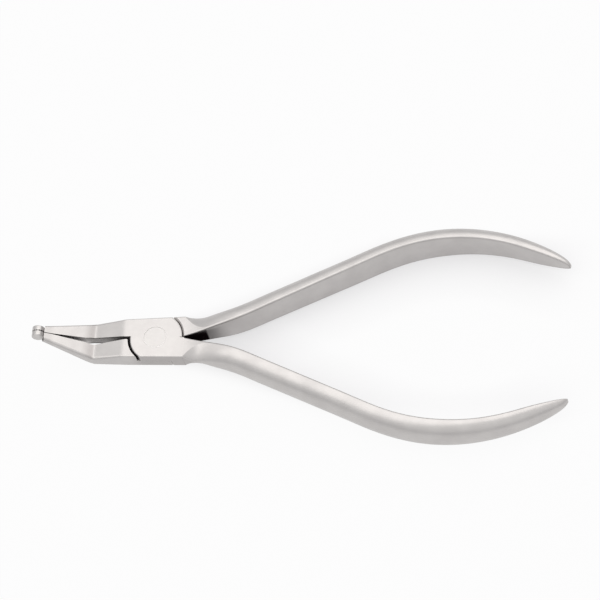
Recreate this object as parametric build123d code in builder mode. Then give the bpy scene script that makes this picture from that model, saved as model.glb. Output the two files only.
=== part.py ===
# Angled orthodontic utility pliers: two forged steel halves lapped on a pivot rivet,
# with a round hard-metal pad at the end of each beak.
#
# Millimetres. The pivot axis is Z. The pieces are drawn about the lap plane, where the two halves meet,
# and are written with the origin on the pivot at the joint's rear face.
# The beaks reach towards -X, the handles towards +X, and the bent beak tips rise towards +Z.

import math
import os

from build123d import *

# Lap joint
joint_thickness = 4.8
jaw_half_width = 5.3  # half width of the joint at the beaks
root_half_width = 5.7  # the same at the handles
plate_radius = 6.5  # round edge of each lap plate beside the jaws, centred on the pivot
close_plate_radius = 6.9  # the same edge beside the handles
shoulder_gap = 0.55  # open slit between a plate's round edge and the other half's shoulder
plate_rim = 0.4  # rounding of a plate's rim
shoulder_rim = 0.4  # bevel of a shoulder's edge beside the handles
lap_clearance = 0.04
root_gap = 0.4  # between the two halves where the handles leave the joint
jaw_gap = 0.8  # between the two beaks where they leave the joint
edge_round = 0.3  # broken edges all along the forging

# Pivot rivet, fixed in the rear half
rivet_head_radius = 2.85
rivet_head_depth = 1.3
rivet_shank_radius = 1.9
rivet_tail_radius = 2.4
rivet_tail_depth = 0.6
rivet_rim = 0.03  # fine bevel that leaves the faint ring round the head
running_clearance = 0.03

# Beaks
jaw_flat_reach = 7.6  # the joint's flat face ends here
slope_round = 0.6  # a bend is eased over this distance each side of it
crease_reach = 16.0
crease_height = 0.7  # where the slope and the beak would meet, over the lap plane
crease_round = 0.7
crease_half_width = 5.05
crease_gap = 1.85
heel_reach = 17.3  # where the underside starts to rise
heel_depth = 2.0  # under the lap plane
heel_round = 1.3
heel_gap = 1.3
beak_end_thickness = 1.8
beak_end_half_width = 1.6
beak_end_gap = 0.2
beak_corner = 0.8  # rounding along the outer upper edge
corner_blend = 2.5  # reached over this length past the joint
corner_share = 0.4  # of the beak's width at most
bend_steps = 9  # sections through the crease and the heel

# Round tip pads
pad_diameter = 3.1
pad_height = 1.3
pad_gap = 0.12  # left between the closed pads
pad_reach = 29.15  # from the pivot to a pad's centre
pad_lift = 6.1  # pad centre over the lap plane
pad_edge_round = 0.2
braze_film = 0.03
serration_pitch = 0.6
serration_depth = 0.25
serration_count = 2  # grooves each side of the middle one

# Handles: the line of a handle's flat inner face, seen from above
handle_root_reach = 7.4
handle_knee = (20.9, 3.9)
handle_bow = (72.9, 28.6)  # the two straight runs would meet here
tail_run = (30.5, -10.4)  # from there to the handle's end
knee_radius = 40.0
bow_radius = 46.0

# Handle section: flat inside, round outside
root_step = 0.02  # fine step down from the joint's end face to the handle
neck_height = 8.2  # soon after the joint
neck_depth = 4.7
neck_length = 15.0
handle_height = 9.35
handle_depth = 4.35
swell_length = 60.0
tail_height = 6.8
tail_depth = 3.3
tail_length = 36.0
handle_edge = 0.45  # broken edges of the inner face
land_width = 0.1  # flat left on the section beside the inner face
crown_width = 0.3  # flat left at the outermost point of the section
depth_blend = 6.0
round_pull = 0.55  # share of a quarter round between its end and its control point
flat_length = 6.5  # the joint's flat face runs out along the handle over this length
flat_taper = 1.7
crown_taper = 3.0
edge_break = 0.8  # steepness of the side where it leaves that flat, as a share of the chord's
edge_break_start = 1.2
edge_pull = 0.22  # the same share at the outermost point, beside that flat
round_length = 12.0  # the handle is fully round from here on
square_length = 12.0  # from the joint's end face, the sections turn square to the handle over this length
end_length = 14.0  # the handle's end rounds off over this length
end_steps = (0, 16, 33, 50, 66, 80)  # degrees round that end
shank_sections = 16
section_crowding = 1.7  # over 1, the sections stand closer together near the joint

half_thickness = joint_thickness / 2
recess_radius = plate_radius + shoulder_gap
pad_radius = pad_diameter / 2
pad_seat_radius = pad_radius + braze_film
handle_end = (handle_bow[0] + tail_run[0], handle_bow[1] + tail_run[1])
root_height = joint_thickness - root_step * 2
root_depth = root_half_width - root_gap / 2 - root_step


def ease(share):
    share = min(max(share, 0.0), 1.0)
    return share * share * (3 - 2 * share)


def between(start, end, share):
    return start + (end - start) * share


# Handle on the +Y side
with BuildLine() as handle_line:
    FilletPolyline(
        (handle_root_reach, root_gap / 2),
        handle_knee,
        handle_bow,
        handle_end,
        radius=[knee_radius, bow_radius],
    )
handle_path = handle_line.wire()
handle_length = handle_path.length


def handle_section(along, scale=1.0):
    """Sketch of the handle's section at a distance along its inner face."""
    tail = ease((along - handle_length + tail_length) / tail_length)
    swell = ease(along / swell_length)
    height = between(root_height, neck_height, ease(along / neck_length))
    height = between(between(height, handle_height, swell), tail_height, tail) * scale
    depth = between(root_depth, neck_depth, ease(along / depth_blend))
    depth = between(between(depth, handle_depth, swell), tail_depth, tail) * scale
    top = height / 2
    edge = between(edge_round, handle_edge, ease(along / neck_length)) * scale
    flat = max(1 - along / flat_length, 0) ** flat_taper
    flat_end = between(edge + land_width * scale, depth - edge, flat)
    crown = between(crown_width / 2 * scale, top - edge, flat ** crown_taper)
    crisp = ease(along / edge_break_start) * (1 - ease(along / round_length))
    side = depth - flat_end
    drop = top - crown
    lean = edge_break * crisp * math.atan2(drop, side)
    near_x = flat_end + round_pull * side * math.cos(lean)
    near_y = top - round_pull * side * math.sin(lean)
    far_y = crown + between(round_pull, edge_pull, crisp) * drop
    spot = handle_path.position_at(along, position_mode=PositionMode.LENGTH)
    course = handle_path.tangent_at(along, position_mode=PositionMode.LENGTH)
    course = between(Vector(1, 0, 0), course, ease(along / square_length)).normalized()
    outward = Vector(-course.Y, course.X, 0)
    with BuildSketch(Plane(origin=spot, x_dir=outward, z_dir=course)) as section:
        with BuildLine():
            Line((0, -top + edge), (0, top - edge))
            CenterArc((edge, top - edge), edge, 90, 90)
            Line((edge, top), (flat_end, top))
            Bezier((flat_end, top), (near_x, near_y), (depth, far_y), (depth, crown))
            Line((depth, crown), (depth, -crown))
            Bezier((depth, -crown), (depth, -far_y), (near_x, -near_y), (flat_end, -top))
            Line((flat_end, -top), (edge, -top))
            CenterArc((edge, -top + edge), edge, 180, 90)
        make_face()
    return section.sketch


end_start = handle_length - end_length
shank_places = [end_start * (step / shank_sections) ** section_crowding for step in range(shank_sections)]
sections = [handle_section(place) for place in shank_places]
for angle in end_steps:
    place = end_start + end_length * math.sin(math.radians(angle))
    sections.append(handle_section(place, math.cos(math.radians(angle))))

with BuildPart() as handle:
    loft(sections=sections)

# Beak on the +Y side, as straight-sided sections from the joint to the pad
inner_line = (
    (0, jaw_gap / 2),
    (jaw_flat_reach, jaw_gap / 2),
    (crease_reach - crease_round, crease_gap / 2),
    (crease_reach + crease_round, crease_gap / 2),
    (heel_reach + heel_round / 2, heel_gap / 2),
    (pad_reach - pad_diameter, beak_end_gap / 2),
    (pad_reach, beak_end_gap / 2),
)
outer_line = (
    (0, jaw_half_width),
    (jaw_flat_reach, jaw_half_width),
    (crease_reach, crease_half_width),
    (pad_reach, beak_end_half_width),
)
slope_reach = jaw_flat_reach + slope_round
slope_fall = (half_thickness - crease_height) / (crease_reach - slope_reach)
beak_rise = (pad_lift + beak_end_thickness / 2 - crease_height) / (pad_reach - crease_reach)
belly_rise = (half_thickness - heel_depth) / (heel_reach - jaw_flat_reach)
heel_rise = (pad_lift - beak_end_thickness / 2 + heel_depth) / (pad_reach - heel_reach)


def follow(line, reach):
    for (start, value), (end, next_value) in zip(line, line[1:]):
        if reach <= end:
            return between(value, next_value, (reach - start) / (end - start))


def past_bend(distance, span):
    """Distance past a bend, eased in over a span each side of it."""
    if distance < -span:
        return 0
    if distance < span:
        return (distance + span) ** 2 / (4 * span)
    return distance


def beak_section(reach):
    """Sketch of the beak's section at a distance from the pivot."""
    inner = follow(inner_line, reach)
    outer = follow(outer_line, reach)
    top = half_thickness - slope_fall * past_bend(reach - slope_reach, slope_round)
    top += (slope_fall + beak_rise) * past_bend(reach - crease_reach, crease_round)
    bottom = -half_thickness + belly_rise * max(reach - jaw_flat_reach, 0)
    bottom += (heel_rise - belly_rise) * past_bend(reach - heel_reach, heel_round)
    corner = between(edge_round, beak_corner, ease((reach - jaw_flat_reach) / corner_blend))
    corner = min(corner, (outer - inner) * corner_share)
    with BuildSketch(Plane(origin=(-reach, 0, 0), x_dir=(0, 1, 0), z_dir=(1, 0, 0))) as section:
        with BuildLine():
            Line((inner, bottom), (inner, top))
            Line((inner, top), (outer - corner, top))
            CenterArc((outer - corner, top - corner), corner, 0, 90)
            Line((outer, top - corner), (outer, bottom + edge_round))
            CenterArc((outer - edge_round, bottom + edge_round), edge_round, 270, 90)
            Line((outer - edge_round, bottom), (inner, bottom))
        make_face()
    return section.sketch


slope_places = [slope_reach - slope_round / 3, slope_reach + slope_round / 3, slope_reach + slope_round]
bend_start = crease_reach - crease_round
bend_end = heel_reach + heel_round
bend_places = [between(bend_start, bend_end, step / bend_steps) for step in range(bend_steps + 1)]
end_places = [pad_reach - pad_diameter, pad_reach]
beak_places = [plate_radius - shoulder_gap, jaw_flat_reach] + slope_places + bend_places + end_places

with BuildPart() as beak:
    loft(sections=[beak_section(place) for place in beak_places], ruled=True)
    with BuildSketch(Plane.XZ):
        with Locations((-pad_reach, pad_lift)):
            Circle(pad_seat_radius)
    extrude(amount=jaw_half_width * 2, both=True, mode=Mode.SUBTRACT)

# Lap plate with a rounded rim; beside the handles it comes closer to the other half's shoulder
with BuildPart() as close_plate:
    Cylinder(close_plate_radius, joint_thickness)
    fillet(close_plate.edges().group_by(Axis.Z)[-1], radius=plate_rim)
    Box(
        close_plate_radius,
        close_plate_radius,
        joint_thickness,
        align=(Align.MIN, Align.MIN, Align.CENTER),
        mode=Mode.INTERSECT,
    )

# Outside of the joint, a little wider at the handles, with broken edges
with BuildPart() as joint_outside:
    with BuildSketch(Plane.YZ.offset(-jaw_flat_reach)):
        RectangleRounded(jaw_half_width * 2, joint_thickness, edge_round)
    with BuildSketch(Plane.YZ.offset(handle_root_reach)):
        RectangleRounded(root_half_width * 2, joint_thickness, edge_round)
    loft()

# Joint block of the front half, at full thickness: jaw side +Y, handle side -Y
with BuildPart() as joint_block:
    Cylinder(plate_radius, joint_thickness)
    fillet(joint_block.edges().group_by(Axis.Z)[-1], radius=plate_rim)
    add(close_plate.part)
    with Locations((-jaw_flat_reach, jaw_gap / 2, 0)):
        Box(jaw_flat_reach, root_half_width, joint_thickness, align=(Align.MIN, Align.MIN, Align.CENTER))
    with Locations((handle_root_reach, -root_gap / 2, 0)):
        Box(handle_root_reach, root_half_width, joint_thickness, align=(Align.MAX, Align.MAX, Align.CENTER))
    add(joint_outside.part, mode=Mode.INTERSECT)

# Bevel of the rear half's shoulder beside its handle
with BuildPart() as shoulder_bevel:
    with Locations((0, 0, half_thickness)):
        Cone(
            recess_radius,
            recess_radius + shoulder_rim,
            shoulder_rim,
            align=(Align.CENTER, Align.CENTER, Align.MAX),
        )
    Box(
        recess_radius * 2,
        recess_radius * 2,
        joint_thickness,
        align=(Align.MIN, Align.MIN, Align.CENTER),
        mode=Mode.INTERSECT,
    )

# Pivot rivet: flush head in the front plate, peened tail in the rear plate
with BuildPart() as pivot_rivet:
    with BuildSketch(Plane.XZ):
        with BuildLine():
            Polyline(
                (0, -half_thickness),
                (rivet_tail_radius, -half_thickness),
                (rivet_shank_radius, -half_thickness + rivet_tail_depth),
                (rivet_shank_radius, half_thickness - rivet_head_depth),
                (rivet_head_radius, half_thickness - rivet_head_depth),
                (rivet_head_radius, half_thickness - rivet_rim),
                (rivet_head_radius - rivet_rim, half_thickness),
                (0, half_thickness),
                close=True,
            )
        make_face()
    revolve(axis=Axis.Z)

# Front half: +Y beak, front lap plate, -Y handle
with BuildPart() as front_half:
    add(joint_block.part)
    add(beak.part)
    add(handle.part.rotate(Axis.X, 180))
    with BuildSketch(Plane.XY.offset(lap_clearance / 2)):
        Circle(recess_radius)
    extrude(amount=-joint_thickness, mode=Mode.SUBTRACT)
    add(shoulder_bevel.part.rotate(Axis.X, 180), mode=Mode.SUBTRACT)
    with Locations((0, 0, half_thickness)):
        CounterBoreHole(
            radius=rivet_shank_radius + running_clearance,
            counter_bore_radius=rivet_head_radius + running_clearance,
            counter_bore_depth=rivet_head_depth + running_clearance,
        )

# Rear half: -Y beak, rear lap plate, +Y handle
with BuildPart() as rear_half:
    add(joint_block.part.rotate(Axis.X, 180))
    add(beak.part.mirror(Plane.XZ))
    add(handle.part)
    with BuildSketch(Plane.XY.offset(-lap_clearance / 2)):
        Circle(recess_radius)
    extrude(amount=joint_thickness, mode=Mode.SUBTRACT)
    add(shoulder_bevel.part, mode=Mode.SUBTRACT)
    add(pivot_rivet.part, mode=Mode.SUBTRACT)

# Tip pad on the +Y side, with a cross-cut gripping face
serration_offsets = [serration_pitch * step for step in range(-serration_count, serration_count + 1)]

with BuildPart() as front_tip_pad:
    with BuildSketch(Plane.XZ.offset(-pad_gap / 2)):
        with Locations((-pad_reach, pad_lift)):
            Circle(pad_radius)
    extrude(amount=-pad_height)
    back_rim = front_tip_pad.edges().sort_by(Axis.Y)[-1]
    fillet(back_rim, radius=pad_edge_round)
    with BuildSketch(Plane.XY.offset(pad_lift)):
        with Locations([(-pad_reach + offset, pad_gap / 2) for offset in serration_offsets]):
            Rectangle(serration_depth, serration_depth, rotation=45)
    extrude(amount=pad_radius, both=True, mode=Mode.SUBTRACT)
    with BuildSketch(Plane.YZ.offset(-pad_reach)):
        with Locations([(pad_gap / 2, pad_lift + offset) for offset in serration_offsets]):
            Rectangle(serration_depth, serration_depth, rotation=45)
    extrude(amount=pad_radius, both=True, mode=Mode.SUBTRACT)

with BuildPart() as rear_tip_pad:
    add(front_tip_pad.part.mirror(Plane.XZ))

os.makedirs("parts", exist_ok=True)
pieces = {
    "front_half": front_half,
    "rear_half": rear_half,
    "pivot_rivet": pivot_rivet,
    "front_tip_pad": front_tip_pad,
    "rear_tip_pad": rear_tip_pad,
}
for name, piece in pieces.items():
    placed = piece.part.moved(Location((0, 0, half_thickness)))
    placed.label = name
    export_step(placed, f"parts/{name}.step")
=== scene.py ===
import bpy
import math
from mathutils import Matrix, Vector


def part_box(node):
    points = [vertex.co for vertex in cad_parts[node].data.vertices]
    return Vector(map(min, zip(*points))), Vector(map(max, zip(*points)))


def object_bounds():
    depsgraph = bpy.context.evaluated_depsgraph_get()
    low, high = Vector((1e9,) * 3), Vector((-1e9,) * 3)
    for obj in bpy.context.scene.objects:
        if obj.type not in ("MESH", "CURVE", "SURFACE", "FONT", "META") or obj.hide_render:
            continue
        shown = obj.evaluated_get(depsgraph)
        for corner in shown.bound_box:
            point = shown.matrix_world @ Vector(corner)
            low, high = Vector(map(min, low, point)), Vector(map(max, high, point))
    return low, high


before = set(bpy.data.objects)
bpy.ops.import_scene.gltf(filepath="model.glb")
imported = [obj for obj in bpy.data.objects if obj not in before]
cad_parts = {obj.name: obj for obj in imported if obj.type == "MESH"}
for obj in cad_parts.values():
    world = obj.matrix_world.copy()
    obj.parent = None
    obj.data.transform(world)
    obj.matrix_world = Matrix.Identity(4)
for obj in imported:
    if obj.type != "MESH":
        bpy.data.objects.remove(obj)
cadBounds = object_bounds()
scene = bpy.context.scene
scene.view_settings.view_transform = "Standard"
mm = 0.001
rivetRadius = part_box("pivot_rivet")[1][0] / mm
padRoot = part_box("front_tip_pad")[1][0] / mm  # the pads' end towards the beaks
print("frame loaded:", ", ".join(sorted(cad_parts)))


# camera at the photograph's viewing angle
cameraView = {
    "target": (35.70 * mm, 10.84 * mm, 2.43 * mm),
    "azimuth": 20.33,  # degrees round from the near side, towards the handle ends
    "elevation": 59.98,
    "roll": -19.13,
    "distance": 0.75,
    "lens": 180.0,
    "sensor": 36.0,
    "nearest": 0.01,
    "farthest": 20.0,
}


def makeCamera(view):
    turn = math.radians(view["azimuth"])
    climb = math.radians(view["elevation"])
    roll = math.radians(view["roll"])
    back = Vector((
        math.sin(turn) * math.cos(climb),
        -math.cos(turn) * math.cos(climb),
        math.sin(climb),
    ))
    levelRight = Vector((math.cos(turn), math.sin(turn), 0))
    levelUp = back.cross(levelRight)
    right = levelRight * math.cos(roll) + levelUp * math.sin(roll)
    up = levelUp * math.cos(roll) - levelRight * math.sin(roll)
    data = bpy.data.cameras.new("camera")
    data.lens = view["lens"]
    data.sensor_width = view["sensor"]
    data.clip_start = view["nearest"]
    data.clip_end = view["farthest"]
    camera = bpy.data.objects.new("camera", data)
    pose = Matrix((right, up, back)).transposed().to_4x4()
    pose.translation = Vector(view["target"]) + back * view["distance"]
    camera.matrix_world = pose
    scene.collection.objects.link(camera)
    scene.camera = camera


makeCamera(cameraView)
print("camera set")


# small helpers for shader trees
def addNode(tree, kind, **settings):
    node = tree.nodes.new(kind)
    for name, value in settings.items():
        setattr(node, name, value)
    return node


def plug(tree, value, socket):
    if isinstance(value, bpy.types.NodeSocket):
        tree.links.new(value, socket)
    else:
        socket.default_value = value


def mathNode(tree, operation, *values):
    node = addNode(tree, "ShaderNodeMath", operation=operation)
    for value, socket in zip(values, node.inputs):
        plug(tree, value, socket)
    return node.outputs[0]


def multiply(tree, first, *others):
    for other in others:
        first = mathNode(tree, "MULTIPLY", first, other)
    return first


def inverse(tree, value):
    return mathNode(tree, "SUBTRACT", 1.0, value)


def vectorValue(tree, operation, *vectors):
    node = addNode(tree, "ShaderNodeVectorMath", operation=operation)
    for vector, socket in zip(vectors, node.inputs):
        plug(tree, vector, socket)
    return node.outputs["Value"]


def splitVector(tree, vector):
    node = addNode(tree, "ShaderNodeSeparateXYZ")
    plug(tree, vector, node.inputs[0])
    return node.outputs


def mapRange(tree, value, span, target=(0.0, 1.0), smooth=True):
    node = addNode(tree, "ShaderNodeMapRange")
    node.interpolation_type = "SMOOTHSTEP" if smooth else "LINEAR"
    for item, socket in zip((value, *span, *target), node.inputs):
        plug(tree, item, socket)
    return node.outputs[0]


# a Mix node has sockets for each kind of data: its two inputs and its output
mixSockets = {"RGBA": (6, 7, 2), "FLOAT": (2, 3, 0)}


def mixNode(tree, kind, share, first, second):
    node = addNode(tree, "ShaderNodeMix", data_type=kind)
    firstSocket, secondSocket, result = mixSockets[kind]
    plug(tree, share, node.inputs["Factor"])
    plug(tree, first, node.inputs[firstSocket])
    plug(tree, second, node.inputs[secondSocket])
    return node.outputs[result]


def mixColour(tree, share, first, second):
    return mixNode(tree, "RGBA", share, first, second)


def mixValue(tree, share, first, second):
    return mixNode(tree, "FLOAT", share, first, second)


def noise(tree, vector, scale, detail=2.0, roughness=0.5):
    node = addNode(tree, "ShaderNodeTexNoise")
    plug(tree, vector, node.inputs["Vector"])
    plug(tree, scale, node.inputs["Scale"])
    plug(tree, detail, node.inputs["Detail"])
    plug(tree, roughness, node.inputs["Roughness"])
    return node.outputs["Fac"]


# 1 where nothing stands within the reach, in metres, and less in a gap
def openness(tree, reach, samples=8):
    node = addNode(tree, "ShaderNodeAmbientOcclusion", samples=samples)
    plug(tree, reach, node.inputs["Distance"])
    return node.outputs["AO"]


# millimetres along the piece, so grain keeps its real size
def pieceMillimetres(tree):
    grow = addNode(tree, "ShaderNodeVectorMath", operation="SCALE")
    tree.links.new(addNode(tree, "ShaderNodeTexCoord").outputs["Object"], grow.inputs[0])
    grow.inputs["Scale"].default_value = 1 / mm
    return grow.outputs[0]


# the way that a face looks, along the piece's own axes
def pieceFacing(tree):
    return splitVector(tree, addNode(tree, "ShaderNodeTexCoord").outputs["Normal"])


def makeGroup(name, inputs, outputs):
    group = bpy.data.node_groups.new(name, "ShaderNodeTree")
    for label, value in inputs.items():
        socket = group.interface.new_socket(name=label, in_out="INPUT", socket_type="NodeSocketFloat")
        socket.default_value = value
    for label in outputs:
        group.interface.new_socket(name=label, in_out="OUTPUT", socket_type="NodeSocketFloat")
    entry = addNode(group, "NodeGroupInput")
    leave = addNode(group, "NodeGroupOutput")
    return group, entry.outputs, leave.inputs


def placeGroup(tree, group, **values):
    node = addNode(tree, "ShaderNodeGroup", node_tree=group)
    for name, value in values.items():
        node.inputs[name].default_value = value
    return node.outputs


# fine dimples of a glass-bead blasted surface, with slow clouds over it
blastedLook = {
    "Grain": 5.0,  # dimples and clouds per millimetre
    "Cloud": 0.25,
}


def makeBlastedGrain(look):
    group, entry, leave = makeGroup("blastedGrain", look, ("Height", "Cloud"))
    place = pieceMillimetres(group)
    fine = noise(group, place, entry["Grain"], detail=3.0, roughness=0.6)
    wide = noise(group, place, entry["Cloud"], detail=3.0, roughness=0.55)
    cloudSpan = (0.3, 0.7)
    group.links.new(fine, leave["Height"])
    group.links.new(mapRange(group, wide, cloudSpan), leave["Cloud"])
    return group


# polished line that handling leaves along sharp edges, broken in places; the unbroken line, made wide,
# marks where painted shade lies along inner rims
wearLook = {
    "bend": (0.995, 0.9),  # cosine between the true and the rounded face
    "patchScale": 1.3,
    "patches": (0.25, 0.6),
    "patchWear": (0.35, 1.0),
}


def makeEdgeWearAndRimShade(look):
    group, entry, leave = makeGroup("edgeWearAndRimShade", {"Width": 0.15}, ("Edge", "Line"))
    rounded = addNode(group, "ShaderNodeBevel", samples=6)
    group.links.new(multiply(group, entry["Width"], mm), rounded.inputs["Radius"])
    trueNormal = addNode(group, "ShaderNodeNewGeometry").outputs["Normal"]
    agreement = vectorValue(group, "DOT_PRODUCT", rounded.outputs[0], trueNormal)
    line = mapRange(group, agreement, look["bend"])
    patches = noise(group, pieceMillimetres(group), look["patchScale"], detail=3.0)
    broken = mapRange(group, patches, look["patches"], look["patchWear"])
    group.links.new(multiply(group, line, broken), leave["Edge"])
    group.links.new(line, leave["Line"])
    return group


# painted shade held in slits and narrow gaps: none from Clear on, full at Closed
crevice = {
    "Reach": 1.0,  # millimetres
    "Closed": 0.2,
    "Clear": 0.55,
}


def makeCreviceShade(look):
    group, entry, leave = makeGroup("creviceShade", look, ("PaintedShade",))
    room = openness(group, multiply(group, entry["Reach"], mm))
    group.links.new(mapRange(group, room, (entry["Clear"], entry["Closed"])), leave["PaintedShade"])
    return group


# spans over which a face starts to count as one of a kind, as cosines
faceKinds = {
    "inward": (-0.5, -0.8),  # towards the other half
    "outward": (0.9, 0.98),
    "upward": (0.5, 0.8),
    "wall": (0.9, 0.8),
}
boreMargin = 0.25  # the counterbore's wall is within this of the rivet's head
boreFade = 0.1


# where a face is along the part, in millimetres, and how squarely it looks at the other half
def makeGapPlaces(kinds):
    group, entry, leave = makeGroup(
        "gapPlaces",
        {"Radius": rivetRadius + boreMargin},
        ("Along", "Across", "Height", "Inward", "Outward", "Upward", "Bore"),
    )
    where = splitVector(group, pieceMillimetres(group))
    facing = pieceFacing(group)
    group.links.new(where["X"], leave["Along"])
    group.links.new(where["Y"], leave["Across"])
    group.links.new(where["Z"], leave["Height"])
    outward = multiply(group, facing["Y"], mathNode(group, "SIGN", where["Y"]))
    group.links.new(mapRange(group, outward, kinds["inward"]), leave["Inward"])
    group.links.new(mapRange(group, outward, kinds["outward"]), leave["Outward"])
    group.links.new(mapRange(group, facing["Z"], kinds["upward"]), leave["Upward"])
    level = addNode(group, "ShaderNodeCombineXYZ")
    group.links.new(where["X"], level.inputs["X"])
    group.links.new(where["Y"], level.inputs["Y"])
    fromAxis = vectorValue(group, "LENGTH", level.outputs[0])
    outside = mathNode(group, "ADD", entry["Radius"], boreFade)
    within = mapRange(group, fromAxis, (outside, entry["Radius"]))
    wall = mapRange(group, mathNode(group, "ABSOLUTE", facing["Z"]), kinds["wall"])
    group.links.new(multiply(group, within, wall), leave["Bore"])
    return group


# painted shade: black deep in the fork behind the joint, thinning out along the handles' inner faces
forkShadePlaces = {
    "Start": 6.0,  # millimetres behind the pivot
    "Black": 12.6,  # black up to here
    "End": 19.0,  # faint up to here
    "Top": 4.4,  # none over this height
    "Edge": 0.9,  # width of its soft borders
    "Faint": 0.5,
}


def makeForkPaintedShade(spots, places):
    group, entry, leave = makeGroup("forkPaintedShade", spots, ("ForkShade",))
    at = placeGroup(group, places)
    started = mathNode(group, "ADD", entry["Start"], entry["Edge"])
    blackEnd = mathNode(group, "ADD", entry["Black"], entry["Edge"])
    topEnd = mathNode(group, "ADD", entry["Top"], entry["Edge"])
    black = mapRange(group, at["Along"], (blackEnd, entry["Black"]))
    thin = mapRange(group, at["Along"], (entry["End"], entry["Black"]))
    shade = mathNode(group, "MAXIMUM", black, multiply(group, thin, entry["Faint"]))
    behind = mapRange(group, at["Along"], (entry["Start"], started))
    under = mapRange(group, at["Height"], (topEnd, entry["Top"]))
    group.links.new(multiply(group, shade, behind, at["Inward"], under), leave["ForkShade"])
    return group


# painted shade in a band on the beak side of the crease
creasePlaces = {
    "Crease": 16.2,  # millimetres in front of the pivot
    "Band": 3.0,
    "Edge": 0.5,
}


def makeCreaseShade(spots, places):
    group, entry, leave = makeGroup("creaseShade", spots, ("Shade",))
    at = placeGroup(group, places)
    reach = multiply(group, at["Along"], -1.0)
    bandEnd = mathNode(group, "ADD", entry["Crease"], entry["Band"])
    bandStart = mathNode(group, "SUBTRACT", entry["Crease"], entry["Edge"])
    fading = mapRange(group, reach, (bandEnd, entry["Crease"]))
    rising = mapRange(group, reach, (bandStart, entry["Crease"]))
    group.links.new(multiply(group, fading, rising, at["Upward"]), leave["Shade"])
    return group


# parallel lines of a flat ground after riveting
groundLook = {
    "Pitch": 6.0,  # lines per millimetre
    "Stretch": 0.05,
}


def makeGroundLines(look):
    group, entry, leave = makeGroup("groundLines", look, ("Lines",))
    scale = addNode(group, "ShaderNodeCombineXYZ")
    group.links.new(multiply(group, entry["Pitch"], entry["Stretch"]), scale.inputs["X"])
    group.links.new(entry["Pitch"], scale.inputs["Y"])
    group.links.new(entry["Pitch"], scale.inputs["Z"])
    stretched = addNode(group, "ShaderNodeMapping")
    group.links.new(pieceMillimetres(group), stretched.inputs["Vector"])
    group.links.new(scale.outputs[0], stretched.inputs["Scale"])
    lines = noise(group, stretched.outputs[0], 1.0, detail=4.0, roughness=0.65)
    group.links.new(lines, leave["Lines"])
    return group


# scattered hairlines and dull touches from use
useMarks = {
    "directions": ((12, 0.03), (-35, 0.04), (71, 0.05)),  # degrees round Z, and the stretch
    "lean": (0.3, 0.2),  # radians round X and Y, so that no face runs along the lines
    "across": 1.6,
    "lineScale": 2.4,
    "lineWidth": (0.012, 0.0),
    "patchScale": 0.35,
    "patches": (0.5, 0.68),
    "smudgeScale": 0.12,
    "smudges": (0.35, 0.7),
}
middleGrey = 0.5  # a noise's mean, where its contour makes a hairline


def makeHandlingMarks(look):
    group, entry, leave = makeGroup("handlingMarks", {"Hairlines": 0.5}, ("Scratch", "Smudge"))
    place = pieceMillimetres(group)
    scratch = 0.0
    for angle, stretch in look["directions"]:
        turned = addNode(group, "ShaderNodeMapping")
        turned.inputs["Rotation"].default_value = (*look["lean"], math.radians(angle))
        turned.inputs["Scale"].default_value = (stretch, look["across"], look["across"])
        group.links.new(place, turned.inputs["Vector"])
        wave = noise(group, turned.outputs[0], look["lineScale"], detail=1.0)
        contour = mathNode(group, "ABSOLUTE", mathNode(group, "SUBTRACT", wave, middleGrey))
        hairline = mapRange(group, contour, look["lineWidth"])
        scratch = mathNode(group, "MAXIMUM", scratch, hairline)
    patches = mapRange(group, noise(group, place, look["patchScale"]), look["patches"])
    group.links.new(multiply(group, scratch, patches, entry["Hairlines"]), leave["Scratch"])
    touches = noise(group, place, look["smudgeScale"], detail=4.0, roughness=0.6)
    group.links.new(mapRange(group, touches, look["smudges"]), leave["Smudge"])
    return group


blastedGrain = makeBlastedGrain(blastedLook)
edgeWearAndRimShade = makeEdgeWearAndRimShade(wearLook)
creviceShade = makeCreviceShade(crevice)
gapPlaces = makeGapPlaces(faceKinds)
forkPaintedShade = makeForkPaintedShade(forkShadePlaces, gapPlaces)
creaseShade = makeCreaseShade(creasePlaces, gapPlaces)
groundLines = makeGroundLines(groundLook)
handlingMarks = makeHandlingMarks(useMarks)
print("shared finishes made")


def newMetal(name):
    material = bpy.data.materials.new(name)
    material.use_nodes = True
    tree = material.node_tree
    shader = tree.nodes["Principled BSDF"]
    shader.inputs["Metallic"].default_value = 1.0
    shader.inputs["Specular IOR Level"].default_value = 0.0  # the painted black shade shows no gloss
    return material, tree, shader


def bumpNode(tree, height, strength, depth):
    node = addNode(tree, "ShaderNodeBump")
    node.inputs["Strength"].default_value = strength
    node.inputs["Distance"].default_value = depth * mm
    tree.links.new(height, node.inputs["Height"])
    return node.outputs[0]


# walls round the flush rivet, painted bright so that the gap round its head shows no shade
paintedBoreLight = (0.95, 0.94, 0.93, 1)
# near black of the painted shade in slits, gaps and seams
shadeBlack = (0.012, 0.008, 0.009, 1)


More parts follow.
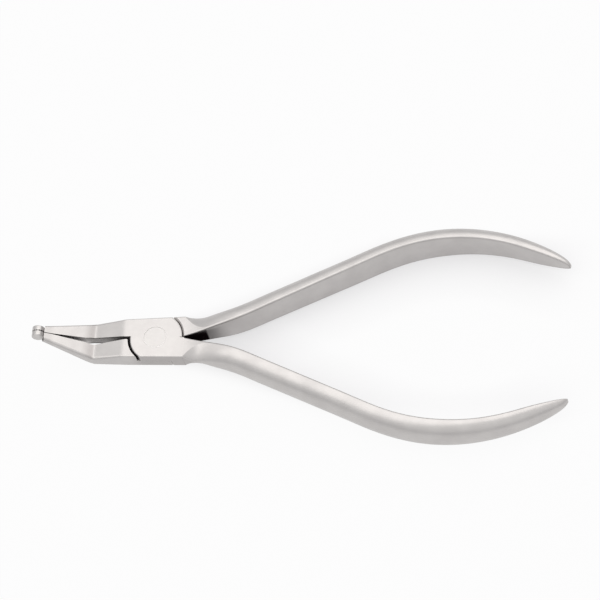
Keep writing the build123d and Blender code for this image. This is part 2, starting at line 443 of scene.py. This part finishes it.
# both halves: satin blasted steel, ground flat over the joint
# a span is in millimetres along X from the pivot, unless its note says otherwise
satinSteel = {
    "light": (0.575, 0.555, 0.543, 1),
    "dark": (0.535, 0.515, 0.505, 1),
    "worn": (0.66, 0.64, 0.625, 1),
    "shadeGrey": (0.28, 0.26, 0.255, 1),
    "roughness": 0.36,
    "groundRoughness": 0.30,
    "smudgeRough": 0.06,
    "wearRough": -0.12,
    "scratchRough": -0.08,
    "grain": 5.0,
    "cloud": 0.22,
    "bumpStrength": 0.16,
    "bumpDepth": 0.05,
    "scratchDepth": -0.5,
    "edgeWidth": 0.18,
    "rimWidth": 1.2,
    "flatSpan": (0.985, 0.998),  # cosine of a face's lean from level
    "groundSpan": (10.0, 7.5),  # from the rivet's foot to the end of the ground flat
    "rivetSpan": (5.4, 5.9),  # from the rivet's foot, so that its head's edge gets no painted shade
    "slitCreviceShade": {"Reach": 2.0},
    "fainterSlitSpan": (0.5, 1.5),  # across, to the side whose slit gets only faint painted shade
    "fainterSlitShare": 0.25,
    "forkCreviceShade": {"Reach": 9.0, "Closed": 0.45, "Clear": 0.75},
    "jawCreviceShade": {"Reach": 5.0, "Closed": 0.3, "Clear": 0.7},
    "jawCreviceShadeShare": 0.42,
    "jawSpan": (-6.0, -7.5),  # where the jaws leave the joint
    "beakSpan": (-16.5, -18.5),  # past the crease
    "tipSpan": (-25.0, -26.5),  # the beaks' ends
    "sideFront": (-6.5, -3.0),  # both ends of the joint's sides
    "sideBack": (12.0, 8.0),
    # shares of the painted grey shade
    "creaseShadeShare": 0.58,
    "tipShadeShare": 0.2,
    "rimShadeShare": 0.6,
    "sideShadeShare": 0.4,
}


# painted grey shade: past the crease, at the beaks' ends, on inner rims and on the joint's sides
def greyShadePlaces(tree, finish, at, rimShade, tips):
    sideFront = mapRange(tree, at["Along"], finish["sideFront"])
    sideBack = mapRange(tree, at["Along"], finish["sideBack"])
    return {
        "creaseShadeShare": placeGroup(tree, creaseShade)["Shade"],
        "tipShadeShare": tips,
        "rimShadeShare": multiply(tree, rimShade, at["Inward"]),
        "sideShadeShare": multiply(tree, at["Outward"], sideFront, sideBack),
    }


# painted black shade in the joint's slits, in the fork and between the jaws
def blackShadePlaces(tree, finish, at, rimShade, tips, fromFoot):
    slit = placeGroup(tree, creviceShade, **finish["slitCreviceShade"])["PaintedShade"]
    pastHead = mapRange(tree, fromFoot, finish["rivetSpan"])
    fainter = mapRange(tree, at["Across"], finish["fainterSlitSpan"], (1.0, finish["fainterSlitShare"]))
    slit = multiply(tree, slit, pastHead, fainter)
    fork = placeGroup(tree, creviceShade, **finish["forkCreviceShade"])["PaintedShade"]
    fork = multiply(tree, fork, placeGroup(tree, forkPaintedShade)["ForkShade"])
    gap = placeGroup(tree, creviceShade, **finish["jawCreviceShade"])["PaintedShade"]
    gap = mathNode(tree, "MAXIMUM", multiply(tree, gap, finish["jawCreviceShadeShare"]), rimShade)
    jaws = mapRange(tree, at["Along"], finish["jawSpan"])
    pastCrease = mapRange(tree, at["Along"], finish["beakSpan"])
    unshadedBeaks = multiply(tree, pastCrease, inverse(tree, tips))
    gap = multiply(tree, gap, at["Inward"], jaws, inverse(tree, unshadedBeaks))
    return mathNode(tree, "MAXIMUM", mathNode(tree, "MAXIMUM", slit, fork), gap)


def makeSatinSteel(finish):
    material, tree, shader = newMetal("satinSteel")
    grain = placeGroup(tree, blastedGrain, Grain=finish["grain"], Cloud=finish["cloud"])
    wear = placeGroup(tree, edgeWearAndRimShade, Width=finish["edgeWidth"])["Edge"]
    # a wide unbroken line along the edges, for painted shade on the inner rims
    rimShade = placeGroup(tree, edgeWearAndRimShade, Width=finish["rimWidth"])["Line"]
    lines = placeGroup(tree, groundLines)["Lines"]
    marks = placeGroup(tree, handlingMarks)
    at = placeGroup(tree, gapPlaces)
    fromFoot = vectorValue(tree, "LENGTH", pieceMillimetres(tree))
    tips = mapRange(tree, at["Along"], finish["tipSpan"])
    lean = mathNode(tree, "ABSOLUTE", pieceFacing(tree)["Z"])
    flat = mapRange(tree, lean, finish["flatSpan"])
    ground = multiply(tree, flat, mapRange(tree, fromFoot, finish["groundSpan"]))

    base = mixColour(tree, grain["Cloud"], finish["dark"], finish["light"])
    base = mixColour(tree, wear, base, finish["worn"])
    # painted grey shade by the crease, at the beaks' ends, on inner rims and on the joint's sides
    for share, mask in greyShadePlaces(tree, finish, at, rimShade, tips).items():
        base = mixColour(tree, multiply(tree, mask, finish[share]), base, finish["shadeGrey"])
    # painted black shade in the slits, the fork and the jaw gap; these places also lose the metal's
    # gloss
    dark = blackShadePlaces(tree, finish, at, rimShade, tips, fromFoot)
    base = mixColour(tree, dark, base, shadeBlack)
    # painted light on the counterbore's walls, so that the gap round the rivet's head shows no shade
    base = mixColour(tree, at["Bore"], base, paintedBoreLight)
    tree.links.new(base, shader.inputs["Base Color"])
    tree.links.new(inverse(tree, dark), shader.inputs["Metallic"])

    rough = mixValue(tree, ground, finish["roughness"], finish["groundRoughness"])
    rough = mathNode(tree, "MULTIPLY_ADD", marks["Smudge"], finish["smudgeRough"], rough)
    rough = mathNode(tree, "MULTIPLY_ADD", wear, finish["wearRough"], rough)
    rough = mathNode(tree, "MULTIPLY_ADD", marks["Scratch"], finish["scratchRough"], rough)
    tree.links.new(rough, shader.inputs["Roughness"])

    height = mixValue(tree, ground, grain["Height"], lines)
    height = mathNode(tree, "MULTIPLY_ADD", marks["Scratch"], finish["scratchDepth"], height)
    bump = bumpNode(tree, height, finish["bumpStrength"], finish["bumpDepth"])
    tree.links.new(bump, shader.inputs["Normal"])
    return material


# rivet: ground flush with the joint, turning rings left on the head
rivetSteel = {
    "light": (0.57, 0.552, 0.54, 1),
    "dark": (0.54, 0.522, 0.51, 1),
    "roughness": 0.28,
    "cloudRough": 0.06,
    "wearRough": -0.06,
    "grain": 7.0,
    "cloud": 0.6,
    "ringPitch": 9.0,
    "ringBend": 0.6,
    "ringDepth": 0.25,
    "edgeWidth": 0.12,
    "bumpStrength": 0.15,
    "bumpDepth": 0.04,
}


def makeRivetSteel(finish):
    material, tree, shader = newMetal("rivetSteel")
    cloud = placeGroup(tree, blastedGrain, Grain=finish["grain"], Cloud=finish["cloud"])["Cloud"]
    lines = placeGroup(tree, groundLines)["Lines"]
    wear = placeGroup(tree, edgeWearAndRimShade, Width=finish["edgeWidth"])["Edge"]
    wall = placeGroup(tree, gapPlaces)["Bore"]
    rings = addNode(tree, "ShaderNodeTexWave", wave_type="RINGS", rings_direction="Z")
    tree.links.new(pieceMillimetres(tree), rings.inputs["Vector"])
    rings.inputs["Scale"].default_value = finish["ringPitch"]
    rings.inputs["Distortion"].default_value = finish["ringBend"]
    base = mixColour(tree, cloud, finish["dark"], finish["light"])
    # painted light on the counterbore's walls, so that the gap round the rivet's head shows no shade
    tree.links.new(mixColour(tree, wall, base, paintedBoreLight), shader.inputs["Base Color"])
    rough = mathNode(tree, "MULTIPLY_ADD", cloud, finish["cloudRough"], finish["roughness"])
    rough = mathNode(tree, "MULTIPLY_ADD", wear, finish["wearRough"], rough)
    tree.links.new(rough, shader.inputs["Roughness"])
    height = mathNode(tree, "MULTIPLY_ADD", rings.outputs["Fac"], finish["ringDepth"], lines)
    bump = bumpNode(tree, height, finish["bumpStrength"], finish["bumpDepth"])
    tree.links.new(bump, shader.inputs["Normal"])
    return material


# tip pads: hard metal, polished and brazed on, with painted shade towards the root and in the seam
padMetal = {
    "light": (0.56, 0.543, 0.53, 1),
    "dark": (0.50, 0.483, 0.472, 1),
    "rootShade": (0.26, 0.235, 0.23, 1),
    "rootShadeShare": 0.75,
    "rootShadeSpan": (padRoot - 1.2, padRoot + 0.2),  # millimetres along X
    "seamShade": {"Reach": 0.4},
    "roughness": 0.25,
    "smudgeRough": 0.08,
    "wearRough": -0.08,
    "grain": 9.0,
    "cloud": 0.8,
    "hairlines": 0.7,
    "scratchDepth": -0.6,
    "edgeWidth": 0.12,
    "bumpStrength": 0.08,
    "bumpDepth": 0.03,
}


def makePadMetal(finish):
    material, tree, shader = newMetal("padMetal")
    grain = placeGroup(tree, blastedGrain, Grain=finish["grain"], Cloud=finish["cloud"])
    marks = placeGroup(tree, handlingMarks, Hairlines=finish["hairlines"])
    wear = placeGroup(tree, edgeWearAndRimShade, Width=finish["edgeWidth"])["Edge"]
    # painted shade in the seam between pad and beak
    seamShade = placeGroup(tree, creviceShade, **finish["seamShade"])["PaintedShade"]
    shadedRoot = mapRange(tree, placeGroup(tree, gapPlaces)["Along"], finish["rootShadeSpan"])
    base = mixColour(tree, grain["Cloud"], finish["dark"], finish["light"])
    # painted shade, darker towards the pads' root
    base = mixColour(tree, multiply(tree, shadedRoot, finish["rootShadeShare"]), base, finish["rootShade"])
    tree.links.new(mixColour(tree, seamShade, base, shadeBlack), shader.inputs["Base Color"])
    rough = mathNode(tree, "MULTIPLY_ADD", marks["Smudge"], finish["smudgeRough"], finish["roughness"])
    rough = mathNode(tree, "MULTIPLY_ADD", wear, finish["wearRough"], rough)
    tree.links.new(rough, shader.inputs["Roughness"])
    height = mathNode(tree, "MULTIPLY_ADD", marks["Scratch"], finish["scratchDepth"], grain["Height"])
    bump = bumpNode(tree, height, finish["bumpStrength"], finish["bumpDepth"])
    tree.links.new(bump, shader.inputs["Normal"])
    return material


steelFinish = makeSatinSteel(satinSteel)
rivetFinish = makeRivetSteel(rivetSteel)
padFinish = makePadMetal(padMetal)
finishOfNode = {
    "front_half": steelFinish,
    "rear_half": steelFinish,
    "pivot_rivet": rivetFinish,
    "front_tip_pad": padFinish,
    "rear_tip_pad": padFinish,
}
for name, material in finishOfNode.items():
    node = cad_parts[name]
    for slot in node.material_slots:
        slot.material = material
    if not node.material_slots:
        node.data.materials.append(material)
print("metal finishes on")


# white room as the camera and reflections see it, and the softer light that it sheds
studio = {
    "ambient": (0.50, 0.50, 0.51, 1),
    "ceiling": (1, 1, 1, 1),
    "horizon": (0.59, 0.59, 0.60, 1),
    "farHorizon": (0.70, 0.70, 0.71, 1),
    "farSky": (0.2, 0.8),  # how far back a ray points where the far horizon takes over
    "horizonTop": 0.55,  # the ceiling's white starts at this height of a unit sphere
}

# white paper, on which the tool's shade falls between lines that follow the two handles
floorPaper = {
    "colour": (0.86, 0.84, 0.87, 1),
    "size": 6.0,  # metres
    "white": 0.94,  # share of plain white
    "shadeWhite": 0.60,  # the same where the shade is deepest
    "shadeOpenness": (0.5, 1.0),
    "shadeReach": 14.0,  # millimetres
    "nearSlope": 0.33,  # how fast the two lines spread along X
    "farSlope": 0.43,
    "spreadEnd": 55.0,  # millimetres from the pivot, where they stop spreading
    "nearFade": (-5.0, 5.0),  # millimetres across each line
    "farFade": (9.0, 3.0),
}


def seenRays(tree):
    rays = addNode(tree, "ShaderNodeLightPath").outputs
    seen = mathNode(tree, "MAXIMUM", rays["Is Camera Ray"], rays["Is Glossy Ray"])
    return mathNode(tree, "MAXIMUM", seen, rays["Is Transmission Ray"])


def makeWorld(room):
    world = bpy.data.worlds.new("studioWorld")
    scene.world = world
    world.use_nodes = True
    tree = world.node_tree
    ray = splitVector(tree, addNode(tree, "ShaderNodeTexCoord").outputs["Generated"])
    far = mapRange(tree, ray["Y"], room["farSky"])
    lift = mapRange(tree, ray["Z"], (0.0, room["horizonTop"]))
    low = mixColour(tree, far, room["horizon"], room["farHorizon"])
    sky = mixColour(tree, lift, low, room["ceiling"])
    colour = mixColour(tree, seenRays(tree), room["ambient"], sky)
    tree.links.new(colour, tree.nodes["Background"].inputs["Color"])


def paperWhite(tree, paper):
    whites = (paper["shadeWhite"], paper["white"])
    room = openness(tree, paper["shadeReach"] * mm)
    shaded = mapRange(tree, room, paper["shadeOpenness"], whites, smooth=False)
    where = splitVector(tree, pieceMillimetres(tree))
    along = mathNode(tree, "MINIMUM", where["X"], paper["spreadEnd"])
    nearSide = mathNode(tree, "MULTIPLY_ADD", along, paper["nearSlope"], where["Y"])
    farSide = mathNode(tree, "MULTIPLY_ADD", along, -paper["farSlope"], where["Y"])
    nearMask = mapRange(tree, nearSide, paper["nearFade"])
    farMask = mapRange(tree, farSide, paper["farFade"])
    return mixValue(tree, multiply(tree, nearMask, farMask), paper["white"], shaded)


def makeFloor(paper):
    half = paper["size"] / 2
    level = cadBounds[0].z
    mesh = bpy.data.meshes.new("floor")
    corners = [(-half, -half, level), (half, -half, level), (half, half, level), (-half, half, level)]
    mesh.from_pydata(corners, [], [(0, 1, 2, 3)])
    floor = bpy.data.objects.new("floor", mesh)
    scene.collection.objects.link(floor)
    material = bpy.data.materials.new("floorPaper")
    material.use_nodes = True
    tree = material.node_tree
    tree.nodes.remove(tree.nodes["Principled BSDF"])
    lit = addNode(tree, "ShaderNodeBsdfDiffuse")
    lit.inputs["Color"].default_value = paper["colour"]
    white = addNode(tree, "ShaderNodeEmission")
    blend = addNode(tree, "ShaderNodeMixShader")
    tree.links.new(multiply(tree, seenRays(tree), paperWhite(tree, paper)), blend.inputs[0])
    tree.links.new(lit.outputs[0], blend.inputs[1])
    tree.links.new(white.outputs[0], blend.inputs[2])
    tree.links.new(blend.outputs[0], tree.nodes["Material Output"].inputs["Surface"])
    mesh.materials.append(material)


# one long soft box, turned so that the flats and the beaks mirror it and the slopes don't
overheadBox = {
    "place": (0.03, 0.26, 0.80),  # metres
    "turn": 45.0,  # degrees from X
    "width": 2.50,
    "depth": 0.74,
    "power": 4.6,
    "colour": (1.0, 0.975, 0.95),
}


def makeSoftBox(name, lamp):
    data = bpy.data.lights.new(name, "AREA")
    data.shape = "RECTANGLE"
    data.size = lamp["width"]
    data.size_y = lamp["depth"]
    data.energy = lamp["power"]
    data.color = lamp["colour"]
    centre = (cadBounds[0] + cadBounds[1]) / 2
    back = (Vector(lamp["place"]) - centre).normalized()
    turn = math.radians(lamp["turn"])
    across = Vector((math.cos(turn), math.sin(turn), 0))
    across = (across - back * across.dot(back)).normalized()
    pose = Matrix((across, back.cross(across), back)).transposed().to_4x4()
    pose.translation = Vector(lamp["place"])
    box = bpy.data.objects.new(name, data)
    box.matrix_world = pose
    scene.collection.objects.link(box)


makeWorld(studio)
makeFloor(floorPaper)
makeSoftBox("overheadBox", overheadBox)
print("studio set")
